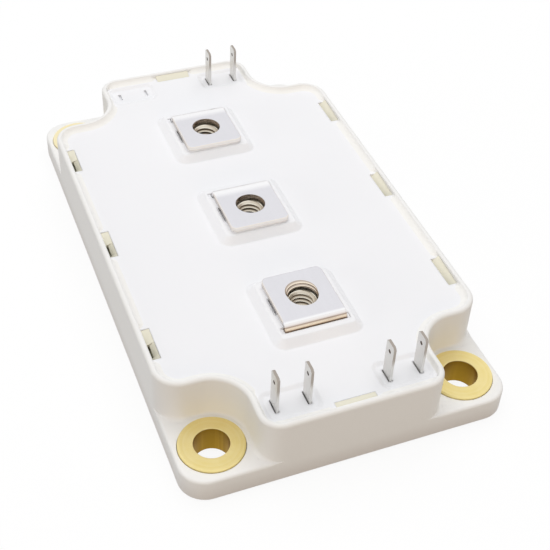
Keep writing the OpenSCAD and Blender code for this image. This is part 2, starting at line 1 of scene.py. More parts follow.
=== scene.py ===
import bpy, bmesh, json, math
import numpy as np
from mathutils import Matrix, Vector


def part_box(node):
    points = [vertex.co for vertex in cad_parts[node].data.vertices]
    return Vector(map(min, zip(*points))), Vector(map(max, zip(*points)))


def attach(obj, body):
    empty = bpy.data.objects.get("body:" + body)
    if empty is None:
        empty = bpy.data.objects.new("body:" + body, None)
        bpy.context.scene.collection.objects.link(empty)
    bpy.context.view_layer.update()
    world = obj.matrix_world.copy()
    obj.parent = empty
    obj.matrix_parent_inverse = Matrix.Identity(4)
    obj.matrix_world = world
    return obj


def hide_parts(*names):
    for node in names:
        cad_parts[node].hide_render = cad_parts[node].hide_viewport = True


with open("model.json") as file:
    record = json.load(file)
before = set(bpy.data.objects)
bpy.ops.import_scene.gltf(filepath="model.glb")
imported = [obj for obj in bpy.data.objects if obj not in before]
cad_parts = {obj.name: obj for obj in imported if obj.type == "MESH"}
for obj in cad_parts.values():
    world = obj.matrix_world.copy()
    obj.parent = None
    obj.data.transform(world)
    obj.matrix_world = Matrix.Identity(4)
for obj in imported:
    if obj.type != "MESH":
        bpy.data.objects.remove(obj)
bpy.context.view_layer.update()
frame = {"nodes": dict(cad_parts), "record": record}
nodes = frame["nodes"]
mm = 0.001  # lengths in the dictionaries below are in millimetres
toMm = 1 / mm  # for lengths in the shaders, which come in metres
quarter = math.pi / 2
fullTurn = 2 * math.pi
print("frame loaded:", len(nodes), "nodes")

# camera fitted to the photograph
view = dict(place=(-61.96, -159.36, 155.75), turn=(47.461, -2.106, -21.244), lens=72.53, sensor=36,
            shift=(-0.0022, -0.0149), nearest=10)
eye = bpy.data.cameras.new("camera")
eye.sensor_width = view["sensor"]
eye.lens = view["lens"]
eye.shift_x, eye.shift_y = view["shift"]
eye.clip_start = view["nearest"] * mm
eyeObject = bpy.data.objects.new("camera", eye)
eyeObject.location = [v * mm for v in view["place"]]
eyeObject.rotation_euler = [math.radians(v) for v in view["turn"]]
bpy.context.scene.collection.objects.link(eyeObject)
bpy.context.scene.camera = eyeObject
print("camera set")


class Wire:  # one shader socket that can stand in a Python sum
    def __init__(self, tree, socket=None):
        self.tree = tree
        self.socket = socket

    def node(self, kind, settings=None, sockets=None, out=0):  # any node: settings, then values or links
        made = self.tree.nodes.new(kind)
        for key, value in (settings or {}).items():
            if key == "stops":
                ramp = made.color_ramp
                while len(ramp.elements) < len(value):
                    ramp.elements.new(0.5)  # its place is set below
                for element, (position, colour) in zip(ramp.elements, value):
                    element.position = position
                    element.color = colour
            else:
                setattr(made, key, value)
        for key, value in (sockets or {}).items():
            if isinstance(value, Wire):
                self.tree.links.new(value.socket, made.inputs[key])
            else:
                made.inputs[key].default_value = value
        return Wire(self.tree, made.outputs[out])

    def sum(self, operation, left, right):
        return self.node("ShaderNodeMath", {"operation": operation}, {0: left, 1: right})

    def __add__(self, other):
        return self.sum("ADD", self, other)

    def __sub__(self, other):
        return self.sum("SUBTRACT", self, other)

    def __mul__(self, other):
        return self.sum("MULTIPLY", self, other)

    def __truediv__(self, other):
        return self.sum("DIVIDE", self, other)

    def __rsub__(self, other):
        return self.sum("SUBTRACT", other, self)

    def __rtruediv__(self, other):
        return self.sum("DIVIDE", other, self)

    __radd__ = __add__
    __rmul__ = __mul__

    def atMost(self, limit):
        return self.sum("MINIMUM", self, limit)

    def mixed(self, other, share):  # two values added, this one with the share given
        return self * share + other * (1 - share)

    def between(self, low, high):  # 0..1 stretched to a range
        return self * (high - low) + low

    def step(self, low, high):  # 0 below low, 1 above high, smooth in between
        smooth = {"interpolation_type": "SMOOTHSTEP"}
        return self.node("ShaderNodeMapRange", smooth, {0: self, 1: low, 2: high})

    def blend(self, low, high):  # two colours mixed by this value
        return self.node("ShaderNodeMix", {"data_type": "RGBA"}, {0: self, 6: low, 7: high}, 2)

    def noise(self, scale, detail=3, rough=0.6, stretch=(1, 1, 1), lopsided=0):  # 0..1 noise on this vector
        where = self.node("ShaderNodeMapping", None, {"Vector": self, "Scale": stretch})
        return where.node("ShaderNodeTexNoise", None, {"Vector": where, "Scale": scale, "Detail": detail,
                                                       "Roughness": rough, "Distortion": lopsided})

    def bump(self, strength, height, under=None):  # this value as a height in millimetres
        sockets = {"Strength": strength, "Distance": height * mm, "Height": self}
        if under is not None:
            sockets["Normal"] = under
        return self.node("ShaderNodeBump", None, sockets)

    def part(self, axis):  # one coordinate of this vector
        return self.node("ShaderNodeSeparateXYZ", None, {0: self}, axis)

    def alongUv(self, axis=1):  # one coordinate of the piece's own UV map
        return self.node("ShaderNodeTexCoord", out="UV").part(axis)


def newFinish(name, **fixed):  # a principled material, its shader and its object coordinates
    material = bpy.data.materials.new(name)
    material.use_nodes = True
    shader = material.node_tree.nodes["Principled BSDF"]
    for key, value in fixed.items():
        shader.inputs[key].default_value = value
    place = Wire(material.node_tree).node("ShaderNodeTexCoord", out="Object")
    return material, shader, place


def plug(shader, **wires):  # links what varies over the surface
    for key, wire in wires.items():
        wire.tree.links.new(wire.socket, shader.inputs[key.replace("_", " ")])


plastic = dict(ior=1.5, gloss=0.4, flow=38, flowRough=0.55, flowBend=0.6, flowShare=0.75,
               speck=1900, speckDetail=2, speckRough=0.5, grain=4200, grainHeight=0.02, bevelSamples=6)
mouldings = {
    "housing": dict(pale=(0.905, 0.90, 0.885, 1), deep=(0.865, 0.855, 0.835, 1), rough=(0.36, 0.46),
                    # painted shade: the low colour darkens the housing towards the foot of its skirt
                    grain=0.10, low=(0.765, 0.735, 0.71, 1), lowAt=(0.0, 4.9)),
    "lid": dict(pale=(0.905, 0.905, 0.92, 1), deep=(0.875, 0.875, 0.895, 1), rough=(0.38, 0.48),
                grain=0.08, soften=0.40),
    "bead": dict(pale=(0.93, 0.92, 0.89, 1), deep=(0.90, 0.885, 0.85, 1), rough=(0.30, 0.40), grain=0.04),
    # the hook plastic is the housing's plastic painted darker and warmer, as painted shade in the snap
    # windows
    "hook": dict(pale=(0.86, 0.83, 0.70, 1), deep=(0.80, 0.765, 0.62, 1), rough=(0.40, 0.50), grain=0.08,
                 # painted shade: the low colour darkens the hooks deep in the snap windows
                 soften=0.10, low=(0.24, 0.23, 0.165, 1), lowAt=(11.55, 13.3)),
}


def mouldedPlastic(name):  # flow marks in the colour, a fine spark-eroded grain in the surface
    p, v = plastic, mouldings[name]
    fixed = {"IOR": p["ior"], "Specular IOR Level": p["gloss"]}
    material, shader, place = newFinish(name + "Plastic", **fixed)
    flow = place.noise(p["flow"], rough=p["flowRough"], lopsided=p["flowBend"])
    speck = place.noise(p["speck"], detail=p["speckDetail"], rough=p["speckRough"])
    grain = place.noise(p["grain"])
    colour = flow.mixed(speck, p["flowShare"]).blend(v["deep"], v["pale"])
    soft = None
    if "soften" in v:  # corners catch the light as if they were rounded
        soft = place.node("ShaderNodeBevel", {"samples": p["bevelSamples"]}, {"Radius": v["soften"] * mm})
    if "low" in v:  # painted shade: darker low down, deep in the snap windows and at the foot of the skirt
        colour = (place.part(2) * toMm).step(*v["lowAt"]).blend(v["low"], colour)
    plug(shader, Base_Color=colour, Roughness=speck.between(*v["rough"]),
         Normal=grain.bump(v["grain"], p["grainHeight"], soft))
    return material


nickel = dict(
    bright=(0.81, 0.805, 0.845, 1), dull=(0.72, 0.715, 0.75, 1), rough=(0.14, 0.28),
    glance=(0.72, 0.70, 0.69, 1), edge=(0.86, 0.815, 0.765, 1),
    clouds=160, cloudShare=0.6, lines=2600, lineDetail=2, rolled=(1, 0.04, 0.04), relief=(0.05, 0.01),
    paintedFoldLightAt=(0.02, 0.40), foldLong=2.0,
    fold=(  # painted light: highlights and dark shade lines, as colours by the run along the fold
        (0.40, (0.95, 0.95, 0.96, 1)), (0.50, (0.89, 0.87, 0.865, 1)), (0.66, (0.88, 0.85, 0.83, 1)),
        (0.84, (0.73, 0.65, 0.61, 1)), (0.94, (0.35, 0.26, 0.20, 1)), (1.05, (0.66, 0.55, 0.44, 1)),
        (1.16, (0.96, 0.82, 0.65, 1)), (1.27, (0.86, 0.71, 0.53, 1)), (1.42, (0.60, 0.46, 0.34, 1)),
        (1.8, (0.55, 0.43, 0.31, 1))))


def brightNickel():
    # plated strip with rolling lines and a cloudy polish; the UV map has the cut edge and the run along
    # the fold, whose colours are painted highlights on the bend and painted shade where it goes into its slot
    v = nickel
    material, shader, place = newFinish("brightNickel", **{"Metallic": 1.0, "Specular Tint": v["glance"]})
    lines = place.noise(v["lines"], detail=v["lineDetail"], stretch=v["rolled"])
    tone = place.noise(v["clouds"]).mixed(lines, v["cloudShare"])
    run = place.alongUv() * toMm
    stops = [(at / v["foldLong"], colour) for at, colour in v["fold"]]
    # painted light: the ramp's colours paint the fold's highlights and its shade
    drawn = run.node("ShaderNodeValToRGB", {"stops": stops}, {0: run / v["foldLong"]})
    colour = run.step(*v["paintedFoldLightAt"]).blend(tone.blend(v["dull"], v["bright"]), drawn)
    plug(shader, Base_Color=place.alongUv(0).blend(colour, v["edge"]), Roughness=tone.between(*v["rough"]),
         Normal=lines.bump(*v["relief"]))
    return material


brass = dict(light=(0.99, 0.89, 0.56, 1), deep=(0.81, 0.64, 0.165, 1), rough=(0.44, 0.58), brushed=0.2,
             rings=2.2, ringRough=0.7, ringShare=0.55, stain=300, relief=(0.12, 0.012),
             # painted shade: the bore colour darkens the bore; the glint streaks are painted highlights
             bore=(0.35, 0.205, 0.016, 1), boreEnd=(5.25, 5.42),
             streaks=620, drawn=(1, 1, 0.02), glint=(0.44, 0.265, 0.026, 1), glintAt=(0.48, 0.68),
             paintedRearLight=(1.0, 0.95, 0.78, 1), paintedRearLightAt=(-20, 40), paintedRearLightShare=0.5)


def turnedBrass():  # tool rings follow the turning profile in the UV map; the bore is painted dark as shade, with streaks of painted highlight
    v = brass
    material, shader, place = newFinish("turnedBrass", Metallic=1.0, Anisotropic=v["brushed"])
    run = place.alongUv() * toMm
    ringPlace = run.node("ShaderNodeCombineXYZ", None, {0: 0.0, 1: run, 2: 0.0})
    rings = ringPlace.noise(v["rings"], rough=v["ringRough"])
    tone = rings.mixed(place.noise(v["stain"]), v["ringShare"])
    # painted light in the bore: a dark shade colour with streaks of painted highlight
    streaks = place.noise(v["streaks"], stretch=v["drawn"]).step(*v["glintAt"])
    bore = streaks.blend(v["bore"], v["glint"])
    paintedRearLight = (place.part(1) * toMm).step(*v["paintedRearLightAt"]) * v["paintedRearLightShare"]  # painted light: paler towards the rear end
    face = paintedRearLight.blend(tone.blend(v["deep"], v["light"]), v["paintedRearLight"])
    plug(shader, Base_Color=run.step(*v["boreEnd"]).blend(bore, face), Roughness=rings.between(*v["rough"]),
         Normal=rings.bump(*v["relief"]))
    return material


plated = dict(lines=2200, lineShare=0.55, clouds=220, relief=(0.10, 0.012),
              pastHole=(0.1, 0.4), pastFace=(0.6, 0.9))  # where a tab's mark leaves its hole and its faces
plating = {
    "tab": dict(light=(0.80, 0.79, 0.765, 1), dark=(0.65, 0.64, 0.615, 1), rough=(0.28, 0.44),
                stretch=(1, 1, 0.05), hole=(0.26, 0.22, 0.195, 1), edge=(0.42, 0.375, 0.335, 1),
                darkTopEdgeAt=(0.70, 0.84)),
    "plate": dict(light=(0.66, 0.65, 0.63, 1), dark=(0.54, 0.53, 0.51, 1), rough=(0.26, 0.42),
                  stretch=(1, 0.03, 1)),
}


def platedMetal(name):
    # drawn or rolled lines under a thin plating; a tab's UV map marks its hole (0), faces and edge (1); the
    # hole is painted dark as shade
    p, v = plated, plating[name]
    material, shader, place = newFinish(name + "Plating", Metallic=1.0)
    lines = place.noise(p["lines"], stretch=v["stretch"])
    tone = lines.mixed(place.noise(p["clouds"]), p["lineShare"])
    colour = tone.blend(v["dark"], v["light"])
    if "hole" in v:
        mark, height = place.alongUv(), place.alongUv(0)
        # the edges are darker near the top
        darkTopEdge = mark.step(*p["pastFace"]) * height.step(*v["darkTopEdgeAt"])
        # painted shade: the hole colour darkens the latch hole
        colour = mark.step(*p["pastHole"]).blend(v["hole"], darkTopEdge.blend(colour, v["edge"]))
    plug(shader, Base_Color=colour, Roughness=tone.between(*v["rough"]), Normal=lines.bump(*p["relief"]))
    return material


cutThread = dict(crest=(0.88, 0.83, 0.72, 1), flank=(0.58, 0.51, 0.41, 1), root=(0.19, 0.145, 0.10, 1),
                 flankAt=(0.0, 0.4), rootShadeAt=(0.3, 0.75), rough=(0.22, 0.38), clouds=700, relief=(0.10, 0.012))


def threadedSteel():  # the UV map carries the depth of the cut: roots are painted dark as shade and crests pale as highlights
    v = cutThread
    material, shader, place = newFinish("threadedSteel", Metallic=1.0)
    depth, cloud = place.alongUv(), place.noise(v["clouds"])
    colour = depth.step(*v["flankAt"]).blend(v["crest"], v["flank"])
    plug(shader, Base_Color=depth.step(*v["rootShadeAt"]).blend(colour, v["root"]),
         Roughness=cloud.between(*v["rough"]), Normal=cloud.bump(*v["relief"]))
    return material


innerRelief = (0.08, 0.01)
innerFinishes = {
    "copper": dict(low=(0.60, 0.29, 0.17, 1), high=(0.74, 0.40, 0.26, 1), rough=(0.28, 0.42),
                   metal=1.0, scale=420),
    "ceramic": dict(low=(0.80, 0.79, 0.75, 1), high=(0.87, 0.86, 0.83, 1), rough=(0.55, 0.7),
                    metal=0.0, scale=1500),
    "chip": dict(low=(0.05, 0.055, 0.07, 1), high=(0.11, 0.115, 0.14, 1), rough=(0.12, 0.2),
                 metal=0.0, scale=700),
    "ribbon": dict(low=(0.66, 0.67, 0.68, 1), high=(0.80, 0.81, 0.82, 1), rough=(0.24, 0.38),
                   metal=1.0, scale=1200),
    "gel": dict(low=(0.72, 0.76, 0.79, 1), high=(0.82, 0.85, 0.87, 1), rough=(0.10, 0.18),
                metal=0.0, scale=260, clear=0.8, ior=1.41),
}


def innerFinish(name):  # what lies under the lid: two tones and a light grain
    v = innerFinishes[name]
    fixed = {"Metallic": v["metal"]}
    if "clear" in v:
        fixed.update({"Transmission Weight": v["clear"], "IOR": v["ior"]})
    material, shader, place = newFinish(name + "Finish", **fixed)
    cloud = place.noise(v["scale"])
    plug(shader, Base_Color=cloud.blend(v["low"], v["high"]), Roughness=cloud.between(*v["rough"]),
         Normal=cloud.bump(*innerRelief))
    return material


finishes = {"terminal": brightNickel(), "brass": turnedBrass(), "nut": threadedSteel()}
for kinds, make in ((mouldings, mouldedPlastic), (plating, platedMetal), (innerFinishes, innerFinish)):
    finishes.update({name: make(name) for name in kinds})
for row in frame["record"]["subparts"]:
    slots = nodes[row["node"]].data.materials
    slots.clear()
    slots.append(finishes[row["material_slot"]])
print("finishes:", len(finishes))


def quads(rows, cols, wrapRows, wrapCols):  # corner numbers of a grid's faces
    i = np.arange(rows if wrapRows else rows - 1)[:, None]
    j = np.arange(cols if wrapCols else cols - 1)[None, :]
    here, below, right = i * cols, (i + 1) % rows * cols, (j + 1) % cols
    return np.stack([here + j, here + right, below + right, below + j], -1).reshape(-1, 4)


meshing = dict(weld=0.002, sliver=0.001, sharp=35, sharpStrip=50)  # the last two in degrees


def makePiece(name, patches, finish, standsFor, sharp=meshing["sharp"]):
    # patches are (points[row, column, xyz] in mm, wrapRows, wrapCols, uv or None); they join where edges meet
    points, faces, marks, base = [], [], [], 0
    for grid, wrapRows, wrapCols, uv in patches:
        rows, cols = grid.shape[:2]
        points.append(grid.reshape(-1, 3))
        faces.append(quads(rows, cols, wrapRows, wrapCols) + base)
        marks.append(np.zeros((rows * cols, 2)) if uv is None else uv.reshape(-1, 2))
        base += rows * cols
    points, faces, marks = np.concatenate(points) * mm, np.concatenate(faces), np.concatenate(marks)
    mesh = bpy.data.meshes.new(name)
    mesh.from_pydata(points.tolist(), [], faces.tolist())
    corner = np.empty(len(mesh.loops), np.int32)
    mesh.loops.foreach_get("vertex_index", corner)
    layer = mesh.uv_layers.new(name="turning")
    layer.uv.foreach_set("vector", marks[corner].astype(np.float32).ravel())
    work = bmesh.new()
    work.from_mesh(mesh)
    bmesh.ops.remove_doubles(work, verts=work.verts, dist=meshing["weld"] * mm)
    bmesh.ops.dissolve_degenerate(work, edges=work.edges, dist=meshing["sliver"] * mm)
    bmesh.ops.recalc_face_normals(work, faces=work.faces)
    work.to_mesh(mesh)
    work.free()
    mesh.polygons.foreach_set("use_smooth", np.ones(len(mesh.polygons), bool))
    mesh.set_sharp_from_angle(angle=math.radians(sharp))
    mesh.materials.append(finish)
    piece = bpy.data.objects.new(name, mesh)
    bpy.context.scene.collection.objects.link(piece)
    even = piece.modifiers.new("evenShading", "WEIGHTED_NORMAL")
    even.keep_sharp = True
    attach(piece, "root")
    if standsFor:
        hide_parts(*standsFor)
    return piece


def boxOf(node):  # lowest and highest corner of a CAD piece, in mm
    return (np.array(corner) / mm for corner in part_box(node))


def level(points, z):  # plan points set at one height
    return np.concatenate([points, np.full(points.shape[:-1] + (1,), z)], -1)


def capped(rows):  # closes both ends of a carried section with its middle point
    return np.concatenate([0 * rows[:1] + rows[0].mean(0), rows, 0 * rows[-1:] + rows[-1].mean(0)])


def lineRun(x0, y0, x1, y1, normal, count):  # points of a straight run and their outward normals
    t = np.linspace(0, 1, count)[:, None]
    points = np.array([[x0, y0]]) * (1 - t) + np.array([[x1, y1]]) * t
    return points, np.tile(np.array(normal, float), (count, 1))


def arcRun(x, y, radius, start, stop, count, side=1):  # an arc; side -1 turns its normals to the centre
    a = np.radians(np.linspace(start, stop, count))
    ray = np.stack([np.cos(a), np.sin(a)], 1)
    return np.array([[x, y]]) + radius * ray, side * ray


def joinRuns(runs):  # runs end to end, without the doubled joints
    points = np.concatenate([runs[0][0]] + [r[0][1:] for r in runs[1:]])
    normals = np.concatenate([runs[0][1]] + [r[1][1:] for r in runs[1:]])
    return points, normals


def fourQuarters(q):  # a quarter turned into a closed loop by mirroring it in X, in both, and in Y
    flip = lambda x, y: q * np.array([x, y])
    return np.concatenate([q[:-1], flip(-1, 1)[::-1][:-1], flip(-1, -1)[:-1], flip(1, -1)[::-1][:-1]])


def fourTimes(q):  # plain numbers along a quarter, repeated the same way
    return np.concatenate([q[:-1], q[::-1][:-1], q[:-1], q[::-1][:-1]])


mould = dict(earHeight=5.0, earRadius=5.0, rimWall=1.1, bodyWall=3.2, ledge=11.3, skirtWall=1.4,
             plateTop=3.0, scoopRadius=6.8, shoulderRadius=5.0, endRadius=4.0,
             seatFit=0.1, seatFloor=4.3, sleeveRadius=5.1,
             rimRound=0.72, innerRound=0.34, earRound=0.6, bottomRound=0.3,
             spread=1.8,  # how far the ruled lines of an ear fan out along its edge
             roundShare=0.45,  # a round's share of the room where two runs come close
             counts=dict(side=90, shoulder=21, flat=5, scoop=29, jamb=6, corner=19, end=40,
                         earSide=14, earBend=17, earEnd=12, earAcross=4, round=7))


def mouldedHousing():
    # the body outline runs side, shoulder, scoop, end, and the skirt outline runs round the ears with
    # matching stations; a section is carried round each, and the ear tops and the underside are ruled
    # between the two
    low, high = boxOf("housing_frame")
    sideX, endY, bottom, rimTop = high[0], high[1], low[2], high[2]
    bushLow, bushHigh = boxOf("bushing_rear_right")
    holeX, holeY = (bushLow + bushHigh)[:2] / 2
    m, count = mould, mould["counts"]
    seatRadius = (bushHigh - bushLow)[0] / 2 + m["seatFit"]
    scoop, foot = m["scoopRadius"], m["scoopRadius"] - seatRadius
    bodyX, bodyY = holeX - scoop, holeY - scoop
    shoulderX, shoulderY = sideX - m["shoulderRadius"], bodyY - m["shoulderRadius"]
    cornerX, cornerY = bodyX - m["endRadius"], endY - m["endRadius"]
    earX, earY = sideX - m["earRadius"], endY - m["earRadius"]
    side = lineRun(sideX, 0, sideX, shoulderY, (1, 0), count["side"])
    shoulder = arcRun(shoulderX, shoulderY, m["shoulderRadius"], 0, 90, count["shoulder"])
    flat = lineRun(shoulderX, bodyY, holeX, bodyY, (0, 1), count["flat"])
    hollow = arcRun(holeX, holeY, scoop, 270, 180, count["scoop"], -1)
    jamb = lineRun(bodyX, holeY, bodyX, cornerY, (1, 0), count["jamb"])
    corner = arcRun(cornerX, cornerY, m["endRadius"], 0, 90, count["corner"])
    end = lineRun(cornerX, endY, 0, endY, (0, 1), count["end"])
    bodyP, bodyN = joinRuns([side, shoulder, flat, hollow, jamb, corner, end])

    def pressed(run, axis, value):  # a run moved straight onto the skirt's side (axis 0) or its end (axis 1)
        points = run[0].copy()
        points[:, axis] = value
        return points, np.tile(np.eye(2)[axis], (len(points), 1))

    skirtShoulder, skirtCorner = pressed(shoulder, 0, sideX), pressed(corner, 1, endY)
    skirtFlat = lineRun(sideX, bodyY, sideX, bodyY + m["spread"], (1, 0), count["flat"])
    about = joinRuns([lineRun(sideX, bodyY + m["spread"], sideX, earY, (1, 0), count["earSide"]),
                      arcRun(earX, earY, m["earRadius"], 0, 90, count["earBend"]),
                      lineRun(earX, endY, bodyX + m["spread"], endY, (0, 1), count["earEnd"])])
    skirtJamb = lineRun(bodyX + m["spread"], endY, bodyX, endY, (0, 1), count["jamb"])
    skirtP, skirtN = joinRuns([side, skirtShoulder, skirtFlat, about, skirtJamb, skirtCorner, end])

    run = np.r_[0, np.cumsum(np.linalg.norm(np.diff(about[0], axis=0), axis=1))]
    turnOut = 270 + 270 * run / run[-1]  # the seat's outer three quarters, met by the ear's edge
    turnIn = np.linspace(270, 180, count["scoop"])  # its last quarter, met by the scoop
    circle = lambda turn, radius: np.array([[holeX, holeY]]) + radius * np.stack(
        [np.cos(np.radians(turn)), np.sin(np.radians(turn))], 1)

    def roundBetween(a, b, most):  # a round's width where two runs come close
        return np.minimum(most, m["roundShare"] * np.linalg.norm(a[0] - b[0], axis=1))

    def widths(most, middle):  # a round's width along the whole quarter, with the middle given
        runs = [np.zeros(count["side"]), roundBetween(shoulder, skirtShoulder, most),
                roundBetween(flat, skirtFlat, most), middle, roundBetween(jamb, skirtJamb, most),
                roundBetween(corner, skirtCorner, most), np.zeros(count["end"])]
        return np.concatenate([runs[0]] + [r[1:] for r in runs[1:]])

    footRun = widths(foot, np.full(count["scoop"], foot))
    edgeRun = widths(m["earRound"], roundBetween((circle(turnOut, seatRadius), 0), about, m["earRound"]))

    def carry(p, n, rows):  # rows of a section: inset and height are [row, station]
        inset = np.concatenate([r[0] + 0 * p[:, 0] for r in rows])
        z = np.concatenate([r[1] + 0 * p[:, 0] for r in rows])
        return np.concatenate([p[None] - n[None] * inset[..., None], z[..., None]], -1)

    t = np.linspace(0, quarter, count["round"])[:, None]
    bodyLoop, bodyOut, skirtLoop, skirtOut = (fourQuarters(q) for q in (bodyP, bodyN, skirtP, skirtN))
    fillet, edge = fourTimes(footRun)[None], fourTimes(edgeRun)[None]
    one = np.ones((1, 1))
    ear, deck = m["earHeight"], m["plateTop"]
    rim, lip, base = m["rimRound"], m["innerRound"], m["bottomRound"]
    rimWall, bodyWall, skirtWall, ledge = (m[k] * one for k in ("rimWall", "bodyWall", "skirtWall", "ledge"))
    wall = carry(bodyLoop, bodyOut, [
        (-fillet + fillet * np.sin(t), ear + fillet - fillet * np.cos(t)),
        (rim - rim * np.cos(t), rimTop - rim + rim * np.sin(t)),
        (rimWall - lip + lip * np.sin(t), rimTop - lip + lip * np.cos(t)), (rimWall, ledge),
        (bodyWall, ledge), (bodyWall, deck * one)])
    skirt = carry(skirtLoop, skirtOut, [
        (skirtWall, deck * one), (skirtWall, bottom * one),
        (base - base * np.sin(t), bottom + base - base * np.cos(t)),
        (edge - edge * np.cos(t), ear - edge + edge * np.sin(t))])

    # numbers of the stations where an ear, its scoop and its outer edge begin and end
    earFirst, earLast = count["side"] - 1, len(skirtP) - count["end"]
    scoopFirst = earFirst + count["shoulder"] + count["flat"] - 2
    scoopLast = scoopFirst + count["scoop"] - 1
    aboutLast = scoopFirst + len(about[0]) - 1
    inEnd = scoopLast + count["jamb"] + count["corner"] - 1
    outer = (skirtP - skirtN * edgeRun[:, None])[earFirst:earLast + 1]
    foots = bodyP + bodyN * footRun[:, None]
    inner = np.concatenate([foots[earFirst:scoopFirst + 1], circle(turnOut, seatRadius)[1:-1],
                            foots[scoopLast:inEnd]])
    w = np.linspace(0, 1, count["earAcross"])[:, None, None]
    earTop = level(outer[None] * (1 - w) + inner[None] * w, ear)
    spin = np.concatenate([turnOut[:-1], turnIn[::-1][:-1] + 360])
    sleeve = m["sleeveRadius"]
    seatRows = np.stack([level(circle(spin, r), z) for r, z in (
        (seatRadius, ear), (seatRadius, m["seatFloor"]), (sleeve, m["seatFloor"]), (sleeve, deck))])
    skirtIn, bodyIn = skirtP - skirtN * m["skirtWall"], bodyP - bodyN * m["bodyWall"]
    underA = np.concatenate([skirtIn[:scoopFirst + 1], skirtIn[scoopFirst:aboutLast + 1],
                             skirtIn[aboutLast:]])
    underB = np.concatenate([bodyIn[:scoopFirst + 1], circle(turnOut, sleeve), bodyIn[scoopLast:]])
    under = np.stack([level(fourQuarters(q), deck) for q in (underA, underB)])
    scoopIn = bodyIn[scoopFirst:scoopLast + 1]
    underScoop = np.stack([level(q, deck) for q in (circle(turnIn, sleeve), scoopIn)])
    patches = [(wall, False, True, None), (skirt, False, True, None), (under, False, True, None)]
    for flip in ([1, 1, 1], [1, -1, 1], [-1, 1, 1], [-1, -1, 1]):
        patches += [(earTop * flip, False, False, None), (seatRows * flip, False, True, None),
                    (underScoop * flip, False, False, None)]
    return makePiece("mouldedHousing", patches, finishes["housing"], ["housing_frame"]), (bodyLoop, bodyOut)


housing, rimRun = mouldedHousing()
print("housing:", len(housing.data.polygons), "faces")

snap = dict(length=7.58, pitch=28.0, outer=0.02, inner=1.69, nose=0.4, noseTop=11.85, noseLow=11.7, foot=10.9,
            notch=0.75, notchAt=(-0.34, 0.06), pocket=11.5,
            tops=dict(  # height at the near and the far end, along the rim and along the lid
                left=dict(rim=(12.0, 13.1), lid=(12.95, 13.24)),
                right=dict(rim=(13.3, 13.8), lid=(12.2, 12.7)),
                near=dict(rim=(13.1, 13.1), lid=(13.29, 13.29)),
                far=dict(rim=(13.85, 13.85), lid=(13.05, 13.05))))


def snapHooks():
    # a hooked section, given by its distance in from the rim and its height, carried along each snap window;
    # its top is ruled between four corner heights, and on the left its side at the rim steps back over
    # a pocket
    high = np.array(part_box("housing_frame")[1]) / mm
    k = snap
    ends, (first, last) = (-0.5, 0.5), k["notchAt"]  # shares of the length
    station = np.array([ends[0], first, first, last, last, ends[1]])
    shape = np.array([[k["inner"], k["foot"]], [k["outer"], k["foot"]], [k["outer"], k["pocket"]],
                      [k["outer"], k["pocket"]], [k["outer"], 0], [k["inner"], 0],
                      [k["inner"], k["noseTop"]], [k["inner"] + k["nose"], k["noseLow"]],
                      [k["inner"], k["noseLow"]]])
    atRim, atLid = 4, 5  # the two points of the section whose heights are ruled
    patches = []
    for sign, onSide, onEnd in ((1, "right", "far"), (-1, "left", "near")):
        for middle in (-k["pitch"], 0, k["pitch"], None):  # three windows on a side, then the one at the end
            top = k["tops"][onEnd if middle is None else onSide]
            rows = np.repeat(shape[None], len(station), 0)
            rows[:, atRim, 1] = np.interp(station, ends, top["rim"])
            rows[:, atLid, 1] = np.interp(station, ends, top["lid"])
            if middle is not None and onSide == "left":
                rows[2:4, atRim - 1:atRim + 1, 0] = k["notch"]  # at the two stations inside the notch
            along = station[:, None, None] * k["length"] + 0 * rows[..., :1]
            rows = capped(np.concatenate([rows, along], -1))
            inward, height, along = rows[..., 0], rows[..., 1], rows[..., 2]
            outX, outY = (sign * (c - mould["rimWall"] - inward) for c in high[:2])
            grid = [along, outY, height] if middle is None else [outX, along + middle, height]
            patches.append((np.stack(grid, -1), False, True, None))
    piece = makePiece("snapHooks", patches, finishes["hook"], [])


snapHooks()
print("snap hooks: in their windows")

bead = dict(width=1.1, rise=0.78, hollow=0.5, lidTop=13.3, sink=0.03, windows=7.6, ease=1.2, keep=0.6,
            padX=(5.4, 15.6), padY=(45.1, 51.5), padGap=0.06, straight=0.1, count=9)


def sealingBead(outline, normals):
    # a fillet, half hollow and half straight, carried round the joint of the lid and the rim; it shrinks to
    # nothing at the snap windows, or to a narrow lip at the near one, and narrows beside the tab pads
    b, seam, pitch = bead, mould["rimWall"], snap["pitch"]
    x, y = np.abs(outline - normals * seam).T
    onSide, onEnd = x > x.max() - b["straight"], y > y.max() - b["straight"]
    alongSide, alongEnd = np.where(onSide, y, np.inf), np.where(onEnd, x, np.inf)
    away = np.minimum(np.minimum(alongSide, np.abs(alongSide - pitch)), alongEnd) - b["windows"] / 2
    keep = np.where(onEnd & (outline[:, 1] < 0), b["keep"], 0)
    size = np.maximum(np.clip(away / b["ease"], 0, 1), keep)[None]
    outside = lambda c, first, last: np.maximum(np.maximum(first - c, c - last), 0)
    padAway = np.hypot(outside(x, *b["padX"]), outside(y, *b["padY"]))
    width = np.minimum(b["width"], padAway - b["padGap"])[None] * size
    t = np.linspace(0, 1, b["count"])[:, None]
    bend = lambda hollow, straight: b["hollow"] * hollow + (1 - b["hollow"]) * straight
    inset = seam + width * bend(1 - np.cos(t * quarter), t)
    height = b["lidTop"] + b["rise"] * size * bend(1 - np.sin(t * quarter), 1 - t)
    below = seam + np.concatenate([width, 0 * width - b["sink"]])
    inset = np.concatenate([inset, below])
    height = np.concatenate([height, 0 * below + b["lidTop"] - b["sink"]])
    inset[0] -= b["sink"]
    grid = np.concatenate([outline[None] - normals[None] * inset[..., None], height[..., None]], -1)
    piece = makePiece("sealingBead", [(grid, True, True, None)], finishes["bead"], [])


sealingBead(*rimRun)
print("sealing bead: laid")

thread = dict(pitch=0.95, crest=2.1, root=2.6, steep=2.5, crestFlat=0.12, countersink=0.7,
              hexFlat=8.0, rim=0.1, ease=0.05, corner=0.35, around=96, along=141)


